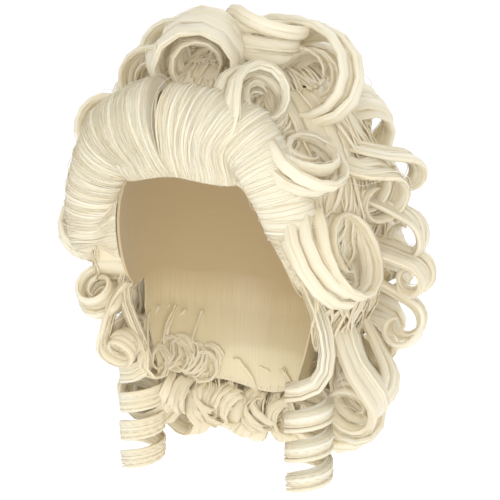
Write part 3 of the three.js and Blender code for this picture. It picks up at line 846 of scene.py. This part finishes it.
@dataclass
class HairSection:
    """One section of hair: clumps and single strands that follow its curls."""

    head: HeadForm
    name: str
    seed: int
    rows: list
    fan: list = field(default_factory=list)
    fan_clumps: int = 90
    clumps: int = 16  # to a lock
    strands: int = 6  # to a clump
    root_spread: float = 3.5  # how far a lock's roots spread round the head, in degrees
    curl_radius: float = 40.0
    lock_width: float = 40.0
    lock_thickness: float = 16.0
    root_taper: float = 0.75
    shrink: float = 0.62
    drift: float = 0.15
    thin_with_width: float = 0.6
    core_share: float = 0.94  # of the lock that its solid heart fills
    clump_width: float = 1.7  # half of it, as the next
    clump_thickness: float = 0.35
    clump_jitter: float = 0.3
    ribbons: int = 4  # to a lock
    ribbon_share: float = 1.55  # of its part of the lock's width that a ribbon has
    ribbon_depth: float = 0.42  # of the lock's
    loose_share: float = 0.5  # loose strands to a clump
    strand_width: float = 0.6
    wave: float = 1.3
    heart_sides: int = 10
    body_steps: int = 12  # of the hair on the head, under the curls
    body_span: float = 0.42  # of the way down to the rim, as the next is in fibres a degree
    body_density: float = 1.8
    body_width: float = 2.6  # half of it, as the next
    body_thickness: float = 0.6
    body_least: float = 4.5  # off the head
    sway_length: float = 16.0  # millimetres along a fibre, in its gentle waves
    lift_length: float = 9.0  # the same, in how it rises off its lock
    off_head: float = 3.0  # the least distance of its locks from the head
    root_lift: float = 2.0  # how far off the head its locks are rooted
    falls: int = 6
    coils: int = 16

    def spread_rows(self, table: list, count: int, fan: bool, rng: np.random.Generator,
                    jitter: float) -> Rows:
        """Picks a row for each of many fibres, with small differences between them.

        Args:
            table: the rows to pick from.
            count: how many fibres.
            fan: whether a fibre may lie between two rows.
            rng: the seeded source of the differences.
            jitter: how large the differences are.

        Returns:
            The columns, each with a value a fibre.
        """
        rows = np.array(table, float)
        if rows.shape[1] < len(SPLIT_COLUMNS):
            rows = np.pad(rows, ((0, 0), (0, 1)))
        if fan:
            at = np.linspace(-0.2, len(rows) - 0.8, count)
            low = np.clip(np.floor(at).astype(int), 0, len(rows) - 2)
            share = (at - low)[:, None]
            values = rows[low] * (1 - share) + rows[low + 1] * share
        else:
            values = rows[np.arange(count) % len(rows)]
        made = {column: values[:, i].copy() for i, column in enumerate(SPLIT_COLUMNS)}
        for column, size in (("rootAz", 0.8), ("root", 0.002), ("az", 0.9), ("down", 0.008),
                             ("lift", 0.012), ("turns", 0.05), ("comb", 4.0), ("lean", 3.0)):
            made[column] += rng.normal(0, size * jitter, count)
        made["radius"] *= 1 + rng.normal(0, 0.06 * jitter, count)
        return made

    def split(self, table: list, rng: np.random.Generator) -> np.ndarray:
        """Splits each lock into ribbons that lie side by side and part a little at their ends.

        Args:
            table: the rows of the locks.
            rng: the seeded source of the ribbons' differences.

        Returns:
            A row a ribbon, with how far it lies beside the middle of its lock as a last column.
        """
        rows = np.repeat(np.array(table, float), self.ribbons, axis=0)
        count = len(rows)
        beside = (np.arange(count) % self.ribbons + 0.5) / self.ribbons - 0.5
        beside = beside * rows[:, 9] * self.lock_width
        for column, size in (("rootAz", 1.2), ("az", 1.0), ("down", 0.008), ("lift", 0.014),
                             ("turns", 0.12), ("comb", 6.0), ("lean", 6.0)):
            rows[:, COLUMNS.index(column)] += rng.normal(0, size, count)
        rows[:, 5] *= 1 + rng.normal(0, 0.09, count)
        rows[:, 9] *= self.ribbon_share / self.ribbons
        return np.column_stack([rows, beside])

    def sweeps(self, rows: Rows) -> Sweeps:
        """The coils that rows of the table stand for."""
        head = self.head
        root = head.place(rows["rootAz"], rows["root"] * head.rim_drop(rows["rootAz"]),
                          self.root_lift)
        seat = head.place(rows["az"], rows["down"] * head.rim_drop(rows["az"]),
                          rows["lift"] * head.hair_lift)
        comb, lean = (np.radians(rows[key])[:, None] for key in ("comb", "lean"))
        travel = seat.up * np.cos(comb) + seat.round * np.sin(comb)
        axis = unit(np.cross(seat.out, travel) * np.cos(lean) + seat.out * np.sin(lean))
        side = root.point - seat.point
        side = side - axis * along(side, axis)
        away = np.linalg.norm(side, axis=1)
        radius = rows["radius"] * self.curl_radius
        start = np.arccos(np.minimum(radius / away, 0.95))
        made = Sweeps(root.point, root.out, seat.point, axis, unit(side), start, rows["turns"],
                      radius, self.shrink, rows["width"] * self.lock_width * self.drift)
        rise = unit(unit(made.coil(np.array([0.0]))[:, 0] - root.point)
                    + root.out * np.cos(lean))
        return replace(made, rise=rise)

    def build(self, material: bpy.types.Material) -> bpy.types.Object:
        """Makes the section's mesh."""
        rng = np.random.default_rng(self.seed)
        strands = Strands()
        self.lay_body(strands, rng)
        if self.fan:
            self.lay_locks(strands, rng, self.fan, True)
        if self.rows:
            self.lay_locks(strands, rng, self.rows, False)
        mesh = strands.mesh(self.name + "_fibres", self.head)
        return piece(self.name + "_fibres", mesh, material, self.name)

    def build_sheet(self, material: bpy.types.Material) -> bpy.types.Object:
        """Makes the smooth sheet under the combed strands of the fan."""
        columns = 24 * (len(self.fan) - 1)
        rows = self.spread_rows(self.fan, columns + 1, True, np.random.default_rng(0), 0.0)
        points, _, normal, falls = self.sweeps(rows).paths(self.falls, self.coils)
        steps = points.shape[1]
        half = (self.lock_depth(rows)[:, None] * self.core_share / 2
                * self.taper(steps, falls / steps, Taper.CURL.value))[..., None]
        inner = self.head.keep_off(points - normal * half, self.head.cap_wall + 0.6)
        outer = self.head.keep_off(points + normal * half, self.head.cap_wall + 1.0)

        def pick(grid: np.ndarray, u: float, v: float) -> np.ndarray:
            """The sheet's point at two shares, in metres."""
            return grid[round(u * columns), round(v * (steps - 1))] * self.head.mm

        mesh = closed_wall(self.name + "_sheet", columns, steps - 1,
                           lambda u, v: pick(inner, u, v), lambda u, v: pick(outer, u, v),
                           lambda u, v: (u * 260, 0, v * 160), 0.5)
        return piece(self.name + "_sheet", mesh, material, self.name)

    def taper(self, steps: int, split: float, tip: float) -> np.ndarray:
        """How wide a lock is along its length, as shares of its widest."""
        t = np.linspace(0, 1, steps)
        root = self.root_taper + (1 - self.root_taper) * smoothstep(t, 0, 0.3)
        return root + (tip - root) * smoothstep(t, 0.45, 1)

    def lay_locks(self, strands: Strands, rng: np.random.Generator, table: list,
                  fan: bool) -> None:
        """Adds the heart of every lock, the flat clumps on it and the single strands over them.

        Args:
            strands: what they are added to.
            rng: the seeded source of their differences.
            table: the rows of the locks.
            fan: whether the rows merge into one combed sheet.
        """
        if not fan:
            table = self.split(table, rng)
            hearts = self.spread_rows(table, len(table), False, rng, 0.0)
            points, across, normal, falls = self.sweeps(hearts).paths(self.falls, self.coils)
            steps = points.shape[1]
            full = self.taper(steps, falls / steps, Taper.CURL.value)
            points = points + across * (hearts["beside"][:, None] * full)[..., None]
            taper = full * self.core_share / 2
            points = self.head.keep_off(points, self.off_head)
            close = 1 - 0.5 * smoothstep(np.linspace(0, 1, steps), 0.85, 1)
            strands.add(points, across, normal,
                        hearts["width"][:, None] * self.lock_width * taper * close,
                        self.lock_depth(hearts)[:, None] * taper * close, self.heart_sides,
                        rng.uniform(0.35, 0.65, len(points)), self.seed + 30.0)
        count = self.fan_clumps if fan else len(table) * self.clumps // self.ribbons
        finer = 0.6 if fan else 1.0
        self.lay_tubes(strands, rng, table, fan, count, Tubes(
            self.clump_width * finer, self.clump_thickness, 6, self.clump_jitter, 0.0, 0.3))
        self.lay_tubes(strands, rng, table, fan, count * self.strands, Tubes(
            self.strand_width / 2, self.strand_width / 2, 3, self.clump_jitter, 0.7, 0.45))
        self.lay_tubes(strands, rng, table, fan, round(count * self.loose_share), Tubes(
            self.strand_width * 0.4, self.strand_width * 0.4, 3, 1.3, 3.5, 0.6))

    def lay_tubes(self, strands: Strands, rng: np.random.Generator, table: list, fan: bool,
                  count: int, tubes: Tubes) -> None:
        """Adds tubes that lie on the surface of the locks or of the combed sheet.

        Args:
            strands: what they are added to.
            rng: the seeded source of their differences.
            table: the rows of the locks.
            fan: whether the rows merge into one combed sheet.
            count: how many tubes.
            tubes: their size and how loose they are.
        """
        rows = self.spread_rows(table, count, fan, rng, tubes.jitter)
        steps = self.falls + self.coils + 1
        t = np.linspace(0, 1, steps)
        width, depth = rows["width"] * self.lock_width, self.lock_depth(rows)
        turn = rng.uniform(0, 2 * math.pi, count)
        turn = turn - 0.5 * (1 - depth / width) * np.sin(2 * turn)  # crowds them on the flat faces
        if not fan:
            first = self.sweeps(rows).paths(2, 4)[1][:, 0]
            way = self.head.place(rows["rootAz"], rows["root"], 0.0).round
            rows["rootAz"] += np.cos(turn) * self.root_spread * np.sign(along(first, way)[:, 0])
        points, across, normal, falls = self.sweeps(rows).paths(self.falls, self.coils)
        taper = self.taper(steps, falls / steps, Taper.CURL.value)
        points = points + across * (rows["beside"][:, None] * taper)[..., None]
        taper = taper * self.core_share / 2
        length = np.cumsum(np.linalg.norm(np.diff(points, axis=1, prepend=points[:, :1]),
                                          axis=-1), 1)
        phase = rng.uniform(0, 2 * math.pi, (2, count, 1))
        sway = self.wave * (0.4 + 1.2 * t) * np.sin(length / self.sway_length + phase[0])
        if fan:
            cosine, sine = np.zeros_like(sway), np.where(turn[:, None] < 1.4, -1.0, 1.0) + 0 * sway
            path = points + across * sway[..., None]
        else:
            angle = turn[:, None] + sway / (0.25 * (width + depth))[:, None]
            cosine, sine = np.cos(angle), np.sin(angle)
            path = points
        path = path + across * (width[:, None] * taper * cosine)[..., None]
        path = path + normal * (depth[:, None] * taper * sine)[..., None]
        out = unit(across * (cosine / width[:, None])[..., None]
                   + normal * (sine / depth[:, None])[..., None])
        lift = rng.uniform(0, tubes.lift, (count, 1)) * (0.3 + t) * (1 + 0.5 * np.sin(
            length / self.lift_length + phase[1]))
        path = path + out * lift[..., None]
        path = self.head.keep_off(path, self.head.cap_wall + 1.2 if fan else self.off_head)
        size = (rng.uniform(0.7, 1.3, (count, 1)) * (1 - 0.8 * smoothstep(t, 0.8, 1))
                * (0.55 + 0.45 * smoothstep(t, 0, 0.12)))
        if tubes.sides > 3:
            size = size * taper * 2 / self.core_share
        side = np.cross(out, unit(np.gradient(path, axis=1)))
        tone = np.clip(rng.normal(0.5, tubes.tone_spread / 2, count), 0, 1)
        strands.add(path, side, out, tubes.width * size, tubes.thickness * size, tubes.sides,
                    tone, self.seed + tubes.sides)

    def lock_depth(self, rows: Rows) -> np.ndarray:
        """How deep locks are, which is less for a narrower lock."""
        whole = rows["width"] * np.where(rows["beside"] == 0, 1, self.ribbons / self.ribbon_share)
        depth = self.lock_thickness * (1 + (whole - 1) * self.thin_with_width)
        return depth * np.where(rows["beside"] == 0, 1, self.ribbon_depth)

    def lay_body(self, strands: Strands, rng: np.random.Generator) -> None:
        """Adds the hair that lies on the head under the curls, combed down in waves."""
        az0, az1, top, bottom = PATCHES[self.name]
        count = int((az1 - az0) * (0.25 + bottom - top) * self.body_density)
        t = np.linspace(0, 1, self.body_steps)
        az = rng.uniform(az0 + 2, az1 - 2, (count, 1))
        span = np.minimum(self.body_span, bottom - top)
        start = rng.uniform(top, bottom - span * 0.6, (count, 1))
        down = np.clip(start + span * t, top + 0.01, bottom + 0.02)
        az = np.clip(az + 5 * np.sin(t * 5 + rng.uniform(0, 6, (count, 1))), az0 + 1, az1 - 1)
        lift = self.head.body_lift(az, down) - 2.5 + rng.uniform(-1, 1.5, (count, 1))
        lift = lift + 1.5 * np.sin(t * 9 + rng.uniform(0, 6, (count, 1)))
        placed = self.head.place(az, down * self.head.rim_drop(az),
                                 np.maximum(lift, self.body_least))
        tangent = unit(np.gradient(placed.point, axis=1))
        across = unit(np.cross(placed.out, tangent))
        size = rng.uniform(0.7, 1.3, (count, 1)) * np.sin(math.pi * (0.06 + 0.88 * t)) ** 0.5
        strands.add(placed.point, across, np.cross(tangent, across), self.body_width * size,
                    self.body_thickness * size, 6, rng.uniform(0.1, 0.7, count),
                    self.seed + 20.0)


@dataclass
class NapeFringe(HairSection):
    """Thin locks that hang over the inner side of the nape hair and hook at their ends."""

    def build(self, material: bpy.types.Material) -> bpy.types.Object:
        """Makes the fringe's mesh."""
        strands = Strands()
        self.lay_locks(strands, np.random.default_rng(self.seed), self.rows, False)
        mesh = strands.mesh(self.name + "_fibres", self.head, self.off_head - self.head.cap_wall)
        return piece(self.name + "_fibres", mesh, material, "nape_curls")


@dataclass
class Ringlet(HairSection):
    """A long lock that falls before the ear and winds down into a ringlet."""

    root_az: float = 0.0
    az: float = 0.0
    fall_share: float = 1.0
    ringlet_root: float = 0.9
    radius: float = 16.0
    ringlet_pitch: float = 24.0
    ringlet_width: float = 18.5
    ringlet_thickness: float = 6.0
    fall: float = 94.0
    stand_off: float = 8.0
    spring: float = 0.8
    ringlet_turns: float = 3.15
    ringlet_falls: int = 7
    ringlet_coils: int = 44

    def build(self, material: bpy.types.Material) -> bpy.types.Object:
        """Makes the ringlet's mesh."""
        rng = np.random.default_rng(self.seed)
        strands = Strands()
        # One solid heart, the flat clumps on it, then single strands.
        self.wind(strands, rng, 1, 0.0, (0.78, 0.8), 12)
        self.wind(strands, rng, self.clumps, 1.0, (0.2, 0.3), 6)
        self.wind(strands, rng, self.strands, 1.4, (0.035, 0.12), 3)
        mesh = strands.mesh(self.name + "_fibres", self.head)
        return piece(self.name + "_fibres", mesh, material, self.name)

    def wind(self, strands: Strands, rng: np.random.Generator, count: int, jitter: float,
             size: tuple[float, float], sides: int) -> None:
        """Adds tubes that wind down together.

        Args:
            strands: what the tubes are added to.
            rng: the seeded source of their differences.
            count: how many tubes.
            jitter: how far they spread over the ribbon.
            size: their width and depth, as shares of the ribbon's.
            sides: how many sides each has.
        """
        head = self.head
        one = np.ones(count)
        root_az = self.root_az + rng.normal(0, 1.5 * jitter, count)
        root = head.place(root_az, self.ringlet_root * head.rim_drop(root_az), head.cap_wall)
        low = root.point[:, 2].mean() - self.fall_share * self.fall
        hang = head.place(np.full(count, self.az), -low / head.crown,
                          self.radius + self.stand_off)
        centre = hang.point.copy()
        centre[:, 2] = low + rng.normal(0, 0.4 * jitter, count)
        down = np.tile([0.0, 0.0, -1.0], (count, 1))
        rise = unit(down + root.out * self.spring)
        turns = self.ringlet_turns + rng.normal(0, 0.02 * jitter, count)
        sweeps = Sweeps(root.point, rise, centre, down, np.tile([0.0, -1.0, 0.0], (count, 1)),
                        0 * one, turns, self.radius * (1 + rng.normal(0, 0.025 * jitter, count)),
                        0.0, self.ringlet_pitch * one)
        points, across, normal, falls = sweeps.paths(self.ringlet_falls, self.ringlet_coils)
        steps = points.shape[1]
        t = np.linspace(0, 1, steps)
        taper = self.taper(steps, falls / steps, Taper.RINGLET.value)
        beside = rng.uniform(-0.38, 0.38, (count, 1)) * min(jitter, 1)
        level = rng.choice([-0.42, 0.42], (count, 1)) * min(jitter, 1)
        a = beside * self.ringlet_width * taper + 0.3 * jitter * np.sin(t * 20 + beside * 40)
        b = level * self.ringlet_thickness * taper
        path = points + across * a[..., None] + normal * b[..., None]
        close = 1 - 0.6 * smoothstep(t, 0.97, 1)
        wide = np.broadcast_to(self.ringlet_width * size[0] / 2 * taper * close, (count, steps))
        thick = np.broadcast_to(self.ringlet_thickness * size[1] / 2 * taper * close,
                                (count, steps))
        strands.add(path, across, normal, wide, thick, sides, rng.uniform(0.1, 0.9, count),
                    self.seed + sides)


@dataclass
class Studio:
    """A pale seamless floor, soft lights, white air, and the camera at the photograph's angle."""

    azimuth: float = 25.0
    elevation: float = 10.0
    distance: float = 1.5
    pixels_per_mm: float = 1.29
    frame_pixels: float = 500.0
    sensor_mm: float = 36.0
    apex_right_px: float = 24.0  # from the top of the cap to the middle of the picture
    apex_down_px: float = 163.0
    floor: float = -0.62
    floor_size: float = 40.0
    air_light: float = 0.62
    target: tuple = (0.0, 0.0, -0.12)
    lights: tuple = (("key_light", (-0.9, -1.6, 1.5), 1.4, 6.0),
                     ("front_light", (0.75, -1.75, 0.35), 1.6, 19.0),
                     ("back_light", (0.3, 1.6, 1.3), 1.6, 20.0))  # place, size in metres, watts

    def axes(self) -> tuple[Vector, Vector, Vector]:
        """The camera's right, up and back."""
        a, e = math.radians(self.azimuth), math.radians(self.elevation)
        right = Vector((math.cos(a), math.sin(a), 0))
        back = Vector((math.sin(a) * math.cos(e), -math.cos(a) * math.cos(e), math.sin(e)))
        return right, back.cross(right), back

    def camera(self) -> None:
        """Adds the camera."""
        right, up, back = self.axes()
        scale = 0.001 / self.pixels_per_mm
        aim = right * (self.apex_right_px * scale) - up * (self.apex_down_px * scale)
        data = bpy.data.cameras.new("camera")
        data.sensor_width = self.sensor_mm
        data.lens = self.sensor_mm * self.distance / (self.frame_pixels * scale)
        made = bpy.data.objects.new("camera", data)
        made.location = aim + back * self.distance
        made.rotation_euler = back.to_track_quat("Z", "Y").to_euler()
        bpy.context.scene.collection.objects.link(made)
        bpy.context.scene.camera = made

    def backdrop(self) -> None:
        """Adds the floor, so wide and bright that no horizon shows."""
        bm = bmesh.new()
        bmesh.ops.create_grid(bm, x_segments=1, y_segments=1, size=self.floor_size)
        mesh = bpy.data.meshes.new("floor")
        bm.to_mesh(mesh)
        bm.free()
        mesh.transform(Matrix.Translation((0, 0, self.floor)))
        made = bpy.data.objects.new("floor", mesh)
        bpy.context.scene.collection.objects.link(made)
        tree = new_tree("pale_paper")
        shader = tree.node("BsdfPrincipled", {"Base Color": (0.95, 0.95, 0.95, 1),
                                              "Roughness": 0.9, "Emission Strength": 0.5,
                                              "Emission Color": (1, 1, 1, 1)})
        tree.node("OutputMaterial", {}, {"Surface": shader.outputs[0]})
        mesh.materials.append(tree.material)

    def light(self, name: str, place: tuple, size: float, power: float) -> None:
        """Adds a soft square light that faces the wig.

        Args:
            name: its name.
            place: where it stands, in metres.
            size: the length of its side.
            power: its watts.
        """
        data = bpy.data.lights.new(name, "AREA")
        data.size, data.energy = size, power
        made = bpy.data.objects.new(name, data)
        made.location = place
        away = Vector(place) - Vector(self.target)
        made.rotation_euler = away.to_track_quat("Z", "Y").to_euler()
        bpy.context.scene.collection.objects.link(made)

    def build(self) -> None:
        """Sets the whole studio."""
        self.camera()
        self.backdrop()
        for light in self.lights:
            self.light(*light)
        scene = bpy.context.scene
        scene.world = bpy.data.worlds.new("studio_air")
        scene.world.use_nodes = True
        nodes, links = scene.world.node_tree.nodes, scene.world.node_tree.links
        seen = nodes.new("ShaderNodeLightPath").outputs["Is Camera Ray"]
        strength = nodes.new("ShaderNodeMapRange")  # the white wall is lit more than it lights
        strength.inputs["To Min"].default_value = self.air_light
        links.new(seen, strength.inputs["Value"])
        nodes["Background"].inputs["Color"].default_value = (1, 1, 1, 1)
        links.new(strength.outputs[0], nodes["Background"].inputs["Strength"])
        scene.view_settings.view_transform = "Standard"
        scene.view_settings.gamma = 1.25
        scene.cycles.diffuse_bounces = 10  # light finds its way deep into pale hair
        scene.cycles.max_bounces = 14


def ring_rows(section: str) -> list:
    """The rows of a section's rings of like curls."""
    rows = []
    for name, count, first, last, root, down, lift, radius, comb, swing, lean, width in RINGS:
        for i in range(count if name == section else 0):
            az = first + (last - first) * i / (count - 1)
            turned = comb + (swing if i % 2 else -swing)
            rows.append((az, root, az, down, lift, radius, RING_TURNS, turned, lean, width))
    return rows


def main() -> None:
    """Builds the wig and its studio."""
    logging.basicConfig(level=logging.INFO, format="%(name)s %(message)s")
    head = HeadForm()
    hair = CurledFibre().build()
    FabricCap(head).build(CapNet().build())
    for seed, (section, (fan_clumps, clumps, strands, coils)) in enumerate(FULLNESS.items(), 1):
        rows = [*CURLS.get(section, ()), *ring_rows(section)]
        off_head = NAPE_OFF_HEAD if section == "nape_curls" else HairSection.off_head
        made = HairSection(head, section, seed, rows, list(FANS.get(section, ())), fan_clumps,
                           clumps, strands, coils=coils, off_head=off_head)
        made.build(hair)
        UnderHair(head, section).build(hair)
        if section.startswith("front"):
            made.build_sheet(hair)
    NapeLining(head).build(NapeFibre().build())
    NapeFringe(head, "nape_fringe", 31, ring_rows("nape_fringe"), clumps=4, strands=2,
               root_spread=1.0, lock_thickness=7.0, off_head=1.4, root_lift=4.8,
               coils=13).build(hair)
    for seed, (name, root_az, az, share, off) in enumerate(RINGLETS, start=21):
        Ringlet(head, name, seed, [], clumps=24, strands=100, root_az=root_az, az=az,
                fall_share=share, stand_off=off).build(hair)
    Studio().build()


if __name__ == "__main__":
    main()
